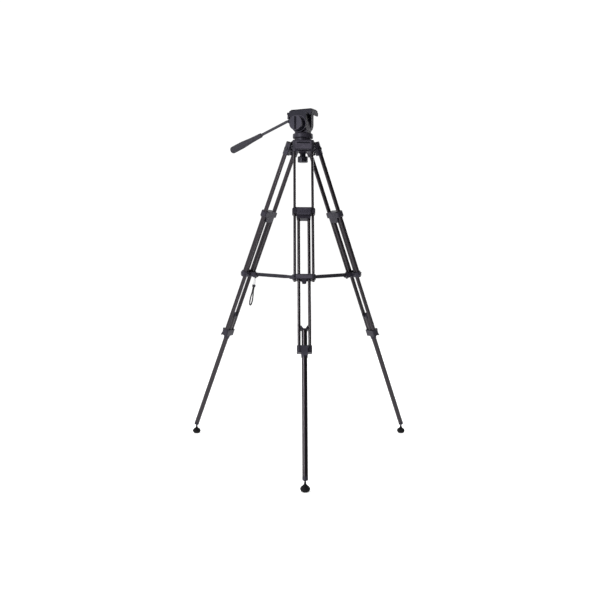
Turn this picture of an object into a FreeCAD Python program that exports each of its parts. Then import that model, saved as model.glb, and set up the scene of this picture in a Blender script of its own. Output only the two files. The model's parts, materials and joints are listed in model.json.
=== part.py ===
import FreeCAD, Part
import math
import os
from types import SimpleNamespace

import Sketcher
from FreeCAD import Placement, Rotation, Vector

# A twin-tube video tripod with a spreader and a fluid head.
#
# Frame: millimetres, +Z up, origin on the floor in the middle of the box round the tripod.
# The front leg runs along -Y, the other two at azimuths 30 and 150 degrees.
#
# A leg piece is drawn in its leg's frame: origin on the hinge pin, X out of the leg's front,
# Y along the pin, Z up the leg, so that "station" N on the leg is at Z = -N.
# A crown piece is drawn about the pan axis with Z = 0 on the hinge level.
# A head piece is drawn about the pan axis with Z = 0 on top of the crown, X forward.

DIMENSIONS = {
    # stance
    "leg_lean": 21.9,
    "hinge_radius": 52.2,
    "ball_station": 1245,
    "ball_height": 42,
    "running_gap": 0.06,
    # crown
    "crown_radius": 36,
    "crown_floor": 13.2,
    "flange_radius": 46,
    "flange_floor": 22.8,
    "flange_top": 28.8,
    "neck_radius": 33,
    "crown_top": 38.3,
    "boss_radius": 16,
    "boss_floor": 18.2,
    "tongue_half": 20,
    "tongue_radius": 9,
    "bolt_radius": 4,
    "bolt_head_radius": 7,
    "bolt_head_height": 3.5,
    # clamp knob under the crown
    "stud_radius": 5,
    "clamp_stem_radius": 11.5,
    "clamp_stem_floor": 30,
    "clamp_knob_radius": 20,
    "clamp_knob_floor": 53.7,
    # leg yoke
    "yoke_half": 41,
    "yoke_front": 13,
    "yoke_back": 13,
    "yoke_plate": 3,
    "yoke_roof": 28,
    "yoke_plate_end": 16,
    "yoke_socket_end": 24,
    # leg tubes
    "tube_wall": 1.3,
    "outer_offset": 33.85,
    "outer_width": 10,
    "outer_depth": 18,
    "outer_start": 7,
    "outer_end": 545,
    "inner_offset": 18.9,
    "inner_width": 11,
    "inner_depth": 17,
    "inner_start": 266,
    "inner_end": 800,
    "lower_radius": 10,
    "lower_start": 725,
    "lower_end": 1236,
    # slide block and its flip lever
    "block_top": 258,
    "block_end": 303,
    "block_half_top": 30,
    "block_half_end": 25.5,
    "block_front": 14,
    "block_back": 13,
    "ear_half": 43,
    "ear_top": 261,
    "ear_end": 282,
    "lever_half": 25,
    "lever_pivot_out": 17.4,
    "lever_pivot": 265.5,
    "lever_end": 291,
    "barrel_radius": 3.1,
    "trunnion_radius": 1.8,
    "lug_width": 3.6,
    # spreader bracket
    "bracket_top": 521.5,
    "bracket_end": 541,
    "bracket_half": 43,
    "bracket_depth": 14,
    "window_half": 24.8,
    "window_depth": 11.7,
    "lip_half": 9.5,
    "lip_drop": 19,
    "clevis_half": 11,
    "arm_slot_half": 4.9,
    "arm_pivot_in": 36.2,
    "arm_pivot": 521.1,
    "strap_eye_in": 37,
    "strap_eye": 534.5,
    # spreader
    "arm_half": 4.5,
    "arm_height": 14,
    "arm_tip_radius": 5.5,
    "arm_pin_radius": 2.5,
    "hub_pivot_radius": 48,
    "hub_height": 694,
    "hub_plate_radius": 26,
    "hub_lobe_half": 10.5,
    # lower clamp and its flip lever
    "clamp_top": 787,
    "clamp_end": 813.5,
    "clamp_half": 27,
    "clamp_front": 15,
    "clamp_back": 13,
    "collar_end": 828.5,
    "collar_radius": 12.7,
    "collar_end_radius": 11.3,
    "small_lever_half": 11,
    "small_lever_out": 18.4,
    "small_lever_pivot": 793,
    "small_lever_end": 825.5,
    # tube guide
    "guide_top": 713.5,
    "guide_end": 730,
    "guide_half": 13.1,
    "guide_depth": 11.3,
    "notch_half": 11.5,
    "notch_depth": 11,
    "notch_floor_half": 4,
    # end cap and foot
    "cap_end": 1249,
    "ball_radius": 6.5,
    "foot_neck_radius": 4,
    "foot_radius": 16.9,
    "foot_height": 25,
    # strap on the left leg
    "link_wire": 1,
    "link_half": 4.5,
    "link_drop": 31,
    "strap_radius": 2.75,
    # head: pan base, column, tilt axis
    "pan_ring_radius": 40,
    "pan_ring_height": 19,
    "spindle_radius": 12,
    "column_base_radius": 30.5,
    "column_base_floor": 19.3,
    "column_base_top": 22,
    "column_half": 16.5,
    "column_arc": 30,
    "flare_half": 27.5,
    "tilt_height": 55.5,
    "tilt_back": 6,
    "shaft_radius": 6,
    "shaft_end": 46.5,
    # head: tilting cradle and camera plate
    "cheek_inner": 17,
    "cheek_outer": 27,
    "cheek_far": 37,
    "cheek_radius": 33,
    "deck_floor": 95,
    "deck_top": 101,
    "deck_front": 50,
    "deck_lip": 7,
    "deck_back": 48,
    "plate_front": 50,
    "plate_back": 46,
    "plate_top": 108,
    "pad_top": 111,
    "screw_radius": 3.175,
    "screw_height": 4.5,
    # head: handle
    "bracket_disc_radius": 26,
    "bracket_disc_inner": 28,
    "bracket_disc_outer": 43,
    "handle_offset": 36.5,
    "handle_height": 65,
    "handle_rod_radius": 5.5,
    "handle_bend": 50,
    "handle_bend_radius": 22,
    "handle_slope": 20.9,
    "grip_start": 125.5,
    "grip_end": 280,
    "grip_radius": 14,
    "handle_knob_radius": 27,
    "handle_knob_inner": 43.4,
    "handle_knob_outer": 52.5,
}

LEG_AZIMUTHS = {"front": -90, "left": 150, "right": 30}
HEAD_AZIMUTH = -30
PAN_LOCK_AZIMUTH = 60

doc = FreeCAD.newDocument("tripod")
sheet = doc.addObject("Spreadsheet::Sheet", "Sizes")
for row, (name, number) in enumerate(DIMENSIONS.items(), start=1):
    sheet.set(f"A{row}", name)
    sheet.set(f"B{row}", str(number))
    sheet.setAlias(f"B{row}", name)
doc.recompute()


class Size:
    """A number together with the expression that works it out from the sheet."""

    def __init__(self, value, text):
        self.value = value
        self.text = text

    def __add__(self, other):
        other = as_size(other)
        return Size(self.value + other.value, f"({self.text} + {other.text})")

    def __sub__(self, other):
        other = as_size(other)
        return Size(self.value - other.value, f"({self.text} - {other.text})")

    def __mul__(self, other):
        other = as_size(other)
        return Size(self.value * other.value, f"({self.text} * {other.text})")

    def __truediv__(self, other):
        other = as_size(other)
        return Size(self.value / other.value, f"({self.text} / {other.text})")

    def __neg__(self):
        return Size(-self.value, f"(-1 * {self.text})")

    def __radd__(self, other):
        return as_size(other) + self

    def __rsub__(self, other):
        return as_size(other) - self

    def __rmul__(self, other):
        return as_size(other) * self

    def __float__(self):
        return float(self.value)


def as_size(number):
    return number if isinstance(number, Size) else Size(float(number), f"({float(number)})")


size = SimpleNamespace(**{
    name: Size(float(sheet.get(name)), f"Sizes.{name}") for name in DIMENSIONS
})

LEAN = math.radians(size.leg_lean.value)
HINGE_HEIGHT = size.ball_height.value + size.ball_station.value * math.cos(LEAN)
FOOT_CIRCLE = size.hinge_radius.value + size.ball_station.value * math.sin(LEAN)
PAN_AXIS_Y = FOOT_CIRCLE / 4
PAN_AXIS = Placement(Vector(0, PAN_AXIS_Y, 0), Rotation())


def lifted(height):
    return Placement(Vector(0, 0, height), Rotation())


def turned(axis, degrees):
    return Placement(Vector(), Rotation(axis, degrees))


def leg_plane(azimuth):
    """The pan axis frame turned so that X runs out along a leg."""
    return PAN_AXIS.multiply(turned(Vector(0, 0, 1), azimuth))


def leg_frame(azimuth):
    at_hinge = Placement(
        Vector(size.hinge_radius.value, 0, HINGE_HEIGHT),
        Rotation(Vector(0, 1, 0), -size.leg_lean.value),
    )
    return leg_plane(azimuth).multiply(at_hinge)


CROWN_FRAME = leg_plane(LEG_AZIMUTHS["right"]).multiply(lifted(HINGE_HEIGHT))
HEAD_FLOOR = HINGE_HEIGHT + size.crown_top.value
HEAD_FRAME = leg_plane(HEAD_AZIMUTH).multiply(lifted(HEAD_FLOOR))
PAN_LOCK_FRAME = leg_plane(PAN_LOCK_AZIMUTH).multiply(lifted(HEAD_FLOOR))


class Drawing:
    """A sketch whose places and radii are bound to the sheet."""

    def __init__(self, body, role, level):
        self.sketch = body.newObject("Sketcher::SketchObject", "Sketch")
        plane = [f for f in body.Origin.OriginFeatures if f.Role == role][0]
        self.sketch.AttachmentSupport = [(plane, "")]
        self.sketch.MapMode = "FlatFace"
        self.sketch.setExpression("AttachmentOffset.Base.z", as_size(level).text)

    def hold(self, kind, indices, target):
        """Adds a driving constraint and binds its number to the sheet."""
        target = as_size(target)
        index = self.sketch.addConstraint(Sketcher.Constraint(kind, *indices, target.value))
        self.sketch.setExpression(f"Constraints[{index}]", target.text)

    def hold_point(self, edge, corner, x, y):
        for kind, axis, target in (("DistanceX", -2, as_size(x)), ("DistanceY", -1, as_size(y))):
            if abs(target.value) < 1e-9:
                pair = Sketcher.Constraint("PointOnObject", edge, corner, axis)
                self.sketch.addConstraint(pair)
            else:
                self.hold(kind, (-1, 1, edge, corner), target)

    def circle(self, x, y, radius):
        centre = Vector(float(x), float(y), 0)
        edge = self.sketch.addGeometry(Part.Circle(centre, Vector(0, 0, 1), float(radius)), False)
        self.hold_point(edge, 3, x, y)
        self.hold("Radius", (edge,), radius)
        return self

    def outline(self, *corners):
        """A closed outline. A corner is (x, y), or (x, y, radius) where the edge that arrives
        there is an arc: it bulges to the right of its direction of travel if radius is
        positive, to the left if it is negative."""
        corners = [tuple(as_size(number) for number in corner) for corner in corners]
        edges = []
        for start, end in zip(corners, corners[1:] + corners[:1]):
            p = Vector(float(start[0]), float(start[1]), 0)
            q = Vector(float(end[0]), float(end[1]), 0)
            if len(end) == 2:
                edges.append((self.sketch.addGeometry(Part.LineSegment(p, q), False), 1, 2, None))
                continue
            radius = abs(end[2].value)
            side = 1 if end[2].value > 0 else -1
            chord = q - p
            left = Vector(-chord.y, chord.x, 0).normalize()
            reach = math.sqrt(max(radius ** 2 - (chord.Length / 2) ** 2, 0))
            centre = (p + q) / 2 + left * reach * side
            begin, finish = (p, q) if side > 0 else (q, p)
            whole = Part.Circle(centre, Vector(0, 0, 1), radius)
            first_angle = math.atan2(begin.y - centre.y, begin.x - centre.x)
            last_angle = math.atan2(finish.y - centre.y, finish.x - centre.x)
            if last_angle <= first_angle:
                last_angle += 2 * math.pi
            arc = Part.ArcOfCircle(whole, first_angle, last_angle)
            edge = self.sketch.addGeometry(arc, False)
            first, last = (1, 2) if side > 0 else (2, 1)
            edges.append((edge, first, last, end[2] * side))
        for index, (edge, first, last, radius) in enumerate(edges):
            follower = edges[(index + 1) % len(edges)]
            self.sketch.addConstraint(
                Sketcher.Constraint("Coincident", edge, last, follower[0], follower[1])
            )
            self.hold_point(edge, first, corners[index][0], corners[index][1])
            if radius is not None:
                self.hold("Radius", (edge,), radius)
        return self

    def box(self, x0, y0, x1, y1):
        return self.outline((x0, y0), (x1, y0), (x1, y1), (x0, y1))

    def oval(self, y, width, depth):
        """A flat-sided oval, long in X, centred at (0, y)."""
        flat = (depth - width) / 2
        side = width / 2
        return self.outline(
            (-flat, y - side, side),
            (flat, y - side),
            (flat + side, y, side),
            (flat, y + side, side),
            (-flat, y + side),
            (-flat - side, y, side),
        )


class Piece:
    """A PartDesign body that is built feature by feature."""

    def __init__(self, name, placement):
        self.body = doc.addObject("PartDesign::Body", name)
        self.body.Label = name
        self.body.AllowCompound = True
        self.body.Placement = placement

    def draw(self, role, level=0):
        return Drawing(self.body, role, level)

    def feature(self, kind, drawing):
        made = self.body.newObject(f"PartDesign::{kind}", kind)
        made.Profile = drawing.sketch
        return made

    def pad(self, drawing, length, way="up"):
        """Way is up along the sketch's normal, down against it, or both, half each way."""
        made = self.feature("Pad", drawing)
        self.sweep(made, length, way, "down")
        return made

    def cut(self, drawing, length, way="down"):
        made = self.feature("Pocket", drawing)
        self.sweep(made, length, way, "up")
        self.check_smaller(made)
        return made

    def sweep(self, made, length, way, reversed_way):
        made.setExpression("Length", as_size(length).text)
        made.Reversed = way == reversed_way
        made.SideType = "Symmetric" if way == "both" else "One side"
        doc.recompute()
        if not made.Shape.isValid():
            raise RuntimeError(f"{self.body.Label}: {made.Name} is not valid")

    def check_smaller(self, made):
        if made.Shape.Volume >= made.BaseFeature.Shape.Volume - 1e-6:
            raise RuntimeError(f"{self.body.Label}: {made.Name} cuts nothing")

    def spin(self, drawing):
        """A full turn of the drawing about its own upright axis."""
        made = self.feature("Revolution", drawing)
        made.ReferenceAxis = (drawing.sketch, ["V_Axis"])
        made.Angle = 360
        doc.recompute()
        return made

    def edges(self, axis, *places):
        """Straight edges along an axis, by their two other coordinates. Either sign of Y fits."""
        along = "xyz".index(axis)
        others = [index for index in range(3) if index != along]
        names = []
        for number, edge in enumerate(self.body.Tip.Shape.Edges, start=1):
            if edge.Degenerated or edge.Curve.TypeId != "Part::GeomLine":
                continue
            direction = edge.tangentAt(edge.FirstParameter)
            if abs(direction[along]) < 0.999:
                continue
            middle = edge.CenterOfMass
            found = [middle[index] for index in others]
            for place in places:
                gaps = []
                for index, here, there in zip(others, found, place):
                    there = float(there)
                    gaps.append(abs(abs(here) - abs(there)) if index == 1 else abs(here - there))
                if max(gaps) < 0.05:
                    names.append(f"Edge{number}")
        if not names:
            raise RuntimeError(f"{self.body.Label}: no edge along {axis} at {places}")
        return names

    def round(self, radius, names):
        return self.dress("Fillet", "Radius", radius, names)

    def bevel(self, width, names):
        return self.dress("Chamfer", "Size", width, names)

    def dress(self, kind, setting, amount, names):
        base = self.body.Tip
        made = self.body.newObject(f"PartDesign::{kind}", kind)
        made.Base = (base, names)
        made.setExpression(setting, as_size(amount).text)
        doc.recompute()
        if made.Shape.isNull() or not made.isValid():
            raise RuntimeError(f"{self.body.Label}: {made.Name} failed on {names}")
        return made

    def ring(self, features, count):
        """Repeats features round the body's own Z axis."""
        made = self.body.newObject("PartDesign::PolarPattern", "PolarPattern")
        made.Originals = features
        axis = [f for f in self.body.Origin.OriginFeatures if f.Role == "Z_Axis"][0]
        made.Axis = (axis, [""])
        made.Angle = 360
        made.Occurrences = count
        self.body.Tip = made
        doc.recompute()
        return made


# ---------------------------------------------------------------- legs


def twin_tubes(name, frame, offset, width, depth, start, end):
    piece = Piece(name, frame)
    ovals = piece.draw("XY_Plane", -start)
    for side in (-1, 1):
        ovals.oval(side * offset, width, depth)
        ovals.oval(side * offset, width - 2 * size.tube_wall, depth - 2 * size.tube_wall)
    piece.pad(ovals, end - start, "down")


def oval_pair(piece, offset, width, depth, top):
    ovals = piece.draw("XY_Plane", -top)
    for side in (-1, 1):
        ovals.oval(side * offset, width, depth)
    return ovals


def bore_across(piece, x, z, radius, length):
    piece.cut(piece.draw("XZ_Plane").circle(x, z, radius), length, "both")


def in_leg_frame(radius, height):
    """A point in a leg's upright plane at rest, from the pan axis and above the hinge, as
    (X, Z) in the leg's own leaning frame."""
    out = radius - size.hinge_radius.value
    cosine, sine = math.cos(LEAN), math.sin(LEAN)
    return out * cosine + height * sine, height * cosine - out * sine


def leg_yoke(name, frame):
    """Two arms and a closed front and roof round the crown's tongue. The roof is level at rest."""
    piece = Piece(name, frame)
    half, end = size.yoke_half, size.yoke_socket_end
    front, back = size.yoke_front, -size.yoke_back
    roof = size.yoke_roof.value
    wall, flange = size.crown_radius.value, size.flange_radius.value
    under = size.flange_floor.value
    roof_front = (roof - front.value * math.sin(LEAN)) / math.cos(LEAN)
    side_view = piece.draw("XZ_Plane")
    side_view.outline(
        (front, -end),
        (front, roof_front),
        in_leg_frame(flange + 1.5, roof),
        in_leg_frame(flange + 0.2, under - 1.8),
        in_leg_frame(wall - 0.4, under - 5.7),
        (back, end - 7),
        (back, -end),
    )
    piece.pad(side_view, 2 * half, "both")
    piece.bevel(8, piece.edges("z", (front, half)))
    inner = size.tongue_half + 0.5
    clear = size.tongue_radius + 1
    hollow = piece.draw("XZ_Plane")
    hollow.outline(
        (front - size.yoke_plate, -end - 1),
        (clear, 0),
        in_leg_frame(size.hinge_radius.value, clear.value) + (clear,),
        in_leg_frame(wall + 0.8, clear.value),
        in_leg_frame(wall + 0.8, roof + 5),
        (back - 9, roof + 9),
        (back - 9, -end - 1),
    )
    piece.cut(hollow, 2 * inner, "both")
    below = piece.draw("YZ_Plane", front - size.yoke_plate - 2)
    below.box(-inner, -end, inner, -size.yoke_plate_end)
    piece.cut(below, size.yoke_plate + 2, "up")
    piece.round(3, piece.edges("z", (back, half)))
    piece.cut(
        oval_pair(piece, size.outer_offset, size.outer_width, size.outer_depth, end),
        end - size.outer_start,
        "up",
    )
    bore_across(piece, 0, 0, size.bolt_radius + size.running_gap, 2 * half + 2)


def spreader_bracket(name, frame):
    piece = Piece(name, frame)
    top, end, half = size.bracket_top, size.bracket_end, size.bracket_half
    depth = size.bracket_depth
    cut_in = 8
    outline = piece.draw("XY_Plane", -top)
    outline.outline(
        (depth, -half + cut_in),
        (depth, half - cut_in),
        (depth - cut_in, half),
        (-depth + cut_in, half),
        (-depth, half - cut_in),
        (-depth, -half + cut_in),
        (-depth + cut_in, -half),
        (depth - cut_in, -half),
    )
    piece.pad(outline, end - top, "down")
    pivot_in, pivot = -size.arm_pivot_in, -size.arm_pivot
    nose = 7
    clevis = piece.draw("XZ_Plane")
    clevis.outline(
        (-depth + 1, -top - 1),
        (-depth - 2, -top + 2),
        (pivot_in, pivot + nose),
        (pivot_in - nose, pivot, -nose),
        (pivot_in - nose, -top - 8),
        (pivot_in - nose + 5, -size.strap_eye - 0.5),
        (-depth - 6, -size.strap_eye - 0.5),
        (-depth + 1, -end + 1),
    )
    piece.pad(clevis, 2 * size.clevis_half, "both")
    slot = piece.draw("XZ_Plane")
    slot.box(pivot_in - nose - 2, -size.strap_eye + 4, -depth - 3, -top + 12)
    piece.cut(slot, 2 * size.arm_slot_half, "both")
    eye = piece.draw("XZ_Plane")
    eye.outline(
        (-size.strap_eye_in + 4, -size.strap_eye),
        (-size.strap_eye_in, -size.strap_eye - 4, -4),
        (-size.strap_eye_in - 4, -size.strap_eye, -4),
        (-size.strap_eye_in - 4, -size.strap_eye + 3.4),
        (-size.strap_eye_in + 4, -size.strap_eye + 3.4),
    )
    piece.pad(eye, 5, "both")
    piece.cut(
        piece.draw("XZ_Plane").circle(-size.strap_eye_in, -size.strap_eye, 2), 30, "both"
    )
    lip = piece.draw("YZ_Plane", size.window_depth)
    lip.outline(
        (-size.lip_half, -end + 3),
        (-size.lip_half, -end - 8),
        (-size.lip_half + 3, -end - size.lip_drop),
        (size.lip_half - 3, -end - size.lip_drop),
        (size.lip_half, -end - 8),
        (size.lip_half, -end + 3),
    )
    piece.pad(lip, depth - size.window_depth)
    window = piece.draw("XY_Plane", -top)
    window.box(-size.window_depth, -size.window_half, size.window_depth, size.window_half)
    piece.cut(window, end - top)
    piece.cut(
        oval_pair(piece, size.outer_offset, size.outer_width, size.outer_depth, top),
        size.outer_end - top,
    )
    bore_across(piece, pivot_in, pivot, size.arm_pin_radius + size.running_gap, 40)
    piece.bevel(4, piece.edges("x", (half, -end)))


def slide_block(name, frame):
    piece = Piece(name, frame)
    top, end = -size.block_top, -size.block_end
    half_top, half_end = size.block_half_top, size.block_half_end
    ear, ear_top, ear_end = size.ear_half, -size.ear_top, -size.ear_end
    taper = (half_top - half_end) / (size.block_end - size.block_top)
    neck = half_top - taper * (size.ear_end - size.block_top)
    nip = 2.5
    right_side = (
        (half_end - 4, end),
        (half_end, end + 4),
        (neck, ear_end),
        (ear - nip, ear_end),
        (ear, ear_end + nip),
        (ear, ear_top - nip),
        (ear - nip, ear_top),
        (half_top, ear_top),
        (half_top, top),
    )
    left_side = tuple((-y, z) for y, z in reversed(right_side))
    front = piece.draw("YZ_Plane", -size.block_back).outline(*right_side, *left_side)
    piece.pad(front, size.block_front + size.block_back)
    piece.bevel(3, piece.edges("z", (size.block_front, ear), (-size.block_back, ear)))
    gap = 2 * size.running_gap + 0.04
    width, tube_depth = size.outer_width + gap, size.outer_depth + gap
    piece.cut(
        oval_pair(piece, size.outer_offset, width, tube_depth, size.ear_top - 5),
        size.ear_end - size.ear_top + 10,
    )
    piece.cut(
        oval_pair(piece, size.inner_offset, size.inner_width, size.inner_depth, size.block_end),
        size.block_end - size.inner_start,
        "up",
    )
    lever_lugs(piece, size.lever_pivot_out, size.lever_pivot, size.lever_half, size.block_front)


def lever_lugs(piece, out, station, half, face):
    """Two ears on a front face that hold a flip lever's trunnions."""
    inner, outer = half + 0.4, half + 0.4 + size.lug_width
    reach = out + size.barrel_radius - face
    lugs = piece.draw("YZ_Plane", face - 0.5)
    for side in (-1, 1):
        lugs.box(side * inner, -station - 5, side * outer, -station + 5)
    piece.pad(lugs, reach + 0.5)
    piece.round(
        size.barrel_radius - 0.3,
        piece.edges("y", (out + size.barrel_radius, -station - 5))
        + piece.edges("y", (out + size.barrel_radius, -station + 5)),
    )
    bore_across(piece, out, -station, size.trunnion_radius + size.running_gap, 2 * outer + 2)


def flip_lever(name, frame, out, station, half, profile):
    """A lever plate with a round hinge barrel and moulded trunnions."""
    piece = Piece(name, frame)
    piece.pad(piece.draw("XZ_Plane").outline(*profile), 2 * half, "both")
    barrel = piece.draw("XZ_Plane").circle(out, -station, size.barrel_radius)
    piece.pad(barrel, 2 * half, "both")
    pins = piece.draw("XZ_Plane").circle(out, -station, size.trunnion_radius)
    piece.pad(pins, 2 * (half + size.lug_width), "both")
    return piece


def upper_lever(name, frame):
    out, station = size.lever_pivot_out, size.lever_pivot
    inside, outside = out - size.barrel_radius, out + size.barrel_radius
    profile = (
        (inside, -station),
        (inside, -size.lever_end + 9),
        (out - 0.6, -size.lever_end + 3),
        (out + 1.4, -size.lever_end),
        (outside + 1.4, -size.lever_end + 1),
        (outside - 0.4, -size.lever_end + 8),
        (outside, -station),
    )
    piece = flip_lever(name, frame, out, station, size.lever_half, profile)
    piece.round(7, edges_at_bottom(piece, size.lever_half))


def edges_at_bottom(piece, half):
    """The edges on both flanks nearest to the lever's free end."""
    shape = piece.body.Tip.Shape
    floor = shape.BoundBox.ZMin
    names = []
    for number, edge in enumerate(shape.Edges, start=1):
        box = edge.BoundBox
        across = box.YLength < 1e-6 and abs(abs(box.YMin) - float(half)) < 1e-6
        if across and box.ZMax < floor + 1.6 and box.XLength > 1:
            names.append(f"Edge{number}")
    return names


def lower_lever(name, frame):
    out, station = size.small_lever_out, size.small_lever_pivot
    inside, outside = out - size.barrel_radius, out + size.barrel_radius
    profile = (
        (inside, -station),
        (inside, -station - 12),
        (out + 1, -station - 19),
        (outside + 2, -size.small_lever_end),
        (outside + 4, -size.small_lever_end + 1.5),
        (outside - 0.5, -station - 15),
        (outside, -station),
    )
    piece = flip_lever(name, frame, out, station, size.small_lever_half, profile)
    piece.round(4, edges_at_bottom(piece, size.small_lever_half))


def lower_clamp(name, frame):
    piece = Piece(name, frame)
    top, end, half = size.clamp_top, size.clamp_end, size.clamp_half
    depth = size.clamp_front + size.clamp_back
    piece.pad(piece.draw("YZ_Plane", -size.clamp_back).box(-half, -end, half, -top), depth)
    piece.round(7, piece.edges("z", (size.clamp_front, half)))
    piece.round(5, piece.edges("z", (-size.clamp_back, half)))
    collar = piece.draw("XZ_Plane")
    collar.outline(
        (0, -end + 2),
        (0, -size.collar_end),
        (size.collar_end_radius, -size.collar_end),
        (size.collar_radius, -end),
        (size.collar_radius, -end + 2),
    )
    piece.spin(collar)
    piece.cut(
        oval_pair(piece, size.inner_offset, size.inner_width, size.inner_depth, top),
        size.inner_end - top,
    )
    bore = piece.draw("XY_Plane", -top).circle(0, 0, size.lower_radius + size.running_gap)
    piece.cut(bore, size.collar_end - top)
    lever_lugs(
        piece, size.small_lever_out, size.small_lever_pivot, size.small_lever_half, size.clamp_front
    )


def tube_guide(name, frame):
    piece = Piece(name, frame)
    half, depth = size.guide_half, size.guide_depth
    top, end = size.guide_top, size.guide_end
    front = piece.draw("YZ_Plane", -depth)
    front.outline(
        (-half, -end),
        (half, -end),
        (half, -top),
        (size.notch_half, -top),
        (size.notch_floor_half, -top - size.notch_depth),
        (-size.notch_floor_half, -top - size.notch_depth),
        (-size.notch_half, -top),
        (-half, -top),
    )
    piece.pad(front, 2 * depth)
    piece.round(3, piece.edges("z", (depth, half), (-depth, half)))
    seat = piece.draw("XY_Plane", -end).circle(0, 0, size.lower_radius)
    piece.cut(seat, end - size.lower_start, "up")


def lower_tube(name, frame):
    piece = Piece(name, frame)
    rings = piece.draw("XY_Plane", -size.lower_start)
    rings.circle(0, 0, size.lower_radius)
    rings.circle(0, 0, size.lower_radius - size.tube_wall)
    piece.pad(rings, size.lower_end - size.lower_start, "down")


def tube_cap(name, frame):
    """End cap with a plug in the tube and a round socket for the foot's ball."""
    piece = Piece(name, frame)
    outer, plug = size.lower_radius, size.lower_radius - size.tube_wall
    chamfer = 1.6
    profile = piece.draw("XZ_Plane")
    profile.outline(
        (0, -size.lower_end + 9),
        (0, -size.cap_end),
        (outer - chamfer, -size.cap_end),
        (outer, -size.cap_end + chamfer),
        (outer, -size.lower_end),
        (plug, -size.lower_end),
        (plug, -size.lower_end + 9),
    )
    piece.spin(profile)
    socket = size.ball_radius + 0.08
    mouth_angle = math.radians(58)
    depth = size.cap_end - size.ball_station
    ball = piece.draw("XZ_Plane")
    ball.outline(
        (0, -size.ball_station + socket, socket),
        (0, -size.cap_end),
        (depth * math.tan(mouth_angle), -size.cap_end),
        (socket * math.sin(mouth_angle), -size.ball_station - socket * math.cos(mouth_angle)),
    )
    made = piece.feature("Groove", ball)
    made.ReferenceAxis = (ball.sketch, ["V_Axis"])
    made.Angle = 360
    doc.recompute()
    piece.check_smaller(made)


def foot(name, frame):
    """A rubber foot on a ball, standing upright on the floor."""
    piece = Piece(name, frame)
    ball, centre = size.ball_radius, size.ball_height
    pin = 3
    pin_height = centre - math.sqrt(ball.value ** 2 - pin ** 2)
    profile = piece.draw("XZ_Plane")
    profile.outline(
        (0, 0),
        (10, 0),
        (size.foot_radius - 0.3, 8, 22),
        (size.foot_radius - 0.9, 14, 7),
        (size.foot_neck_radius + 4.5, 21.5, 14),
        (size.foot_neck_radius, size.foot_height + 4, -12),
        (size.foot_neck_radius, size.foot_height + 7.5),
        (pin, size.foot_height + 9),
        (pin, pin_height),
        (0, centre + ball, ball),
    )
    piece.spin(profile)


def spreader_arm(name, azimuth):
    """Drawn from its outer pin along X to the hub."""
    out = size.hinge_radius.value
    out += -size.arm_pivot_in.value * math.cos(LEAN) + size.arm_pivot.value * math.sin(LEAN)
    up = HINGE_HEIGHT
    up += -size.arm_pivot_in.value * math.sin(LEAN) - size.arm_pivot.value * math.cos(LEAN)
    fall = up - size.hub_height.value
    run = out - size.hub_pivot_radius.value
    length = math.hypot(run, fall)
    droop = math.degrees(math.atan2(fall, run))
    inward = Placement(Vector(out, 0, up), Rotation(Vector(0, 0, 1), 180))
    placement = leg_plane(azimuth).multiply(inward).multiply(turned(Vector(0, 1, 0), droop))
    piece = Piece(name, placement)
    root, tip = size.arm_height / 2, size.arm_tip_radius
    width = 2 * size.arm_half
    bar = piece.draw("XZ_Plane")
    bar.outline(
        (0, -root),
        (length - 30, -root),
        (length, -tip),
        (length, tip),
        (length - 30, root),
        (0, root),
    )
    piece.pad(bar, width, "both")
    for x, radius in ((0, root), (length, tip)):
        piece.pad(piece.draw("XZ_Plane").circle(x, 0, radius), width, "both")
    groove = 1.2
    for side, way in ((-1, "up"), (1, "down")):
        recess = piece.draw("XZ_Plane", side * size.arm_half)
        recess.box(14, -root + 3, length - 34, root - 3)
        piece.cut(recess, groove, way)
    pin = piece.draw("XZ_Plane").circle(0, 0, size.arm_pin_radius)
    piece.pad(pin, 2 * size.clevis_half - 0.6, "both")


for side, azimuth in LEG_AZIMUTHS.items():
    frame = leg_frame(azimuth)
    leg_yoke(f"leg_yoke_{side}", frame)
    twin_tubes(
        f"upper_tubes_{side}", frame, size.outer_offset, size.outer_width, size.outer_depth,
        size.outer_start, size.outer_end,
    )
    spreader_bracket(f"spreader_bracket_{side}", frame)
    slide_block(f"slide_block_{side}", frame)
    upper_lever(f"upper_lever_{side}", frame)
    twin_tubes(
        f"middle_tubes_{side}", frame, size.inner_offset, size.inner_width, size.inner_depth,
        size.inner_start, size.inner_end,
    )
    lower_clamp(f"lower_clamp_{side}", frame)
    lower_lever(f"lower_lever_{side}", frame)
    tube_guide(f"tube_guide_{side}", frame)
    lower_tube(f"lower_tube_{side}", frame)
    tube_cap(f"tube_cap_{side}", frame)
    out_on_floor = Placement(Vector(FOOT_CIRCLE, 0, 0), Rotation())
    foot(f"foot_{side}", leg_plane(azimuth).multiply(out_on_floor))
    spreader_arm(f"spreader_arm_{side}", azimuth)


# ---------------------------------------------------------------- crown and spreader hub


def scallop_ring(piece, level, height, circle_radius, flute_radius, count):
    """Finger flutes round a knob whose axis is the piece's own Z."""
    flute = piece.draw("XY_Plane", level).circle(circle_radius, 0, flute_radius)
    made = piece.cut(flute, height, "up")
    piece.ring([made], count)


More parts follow.
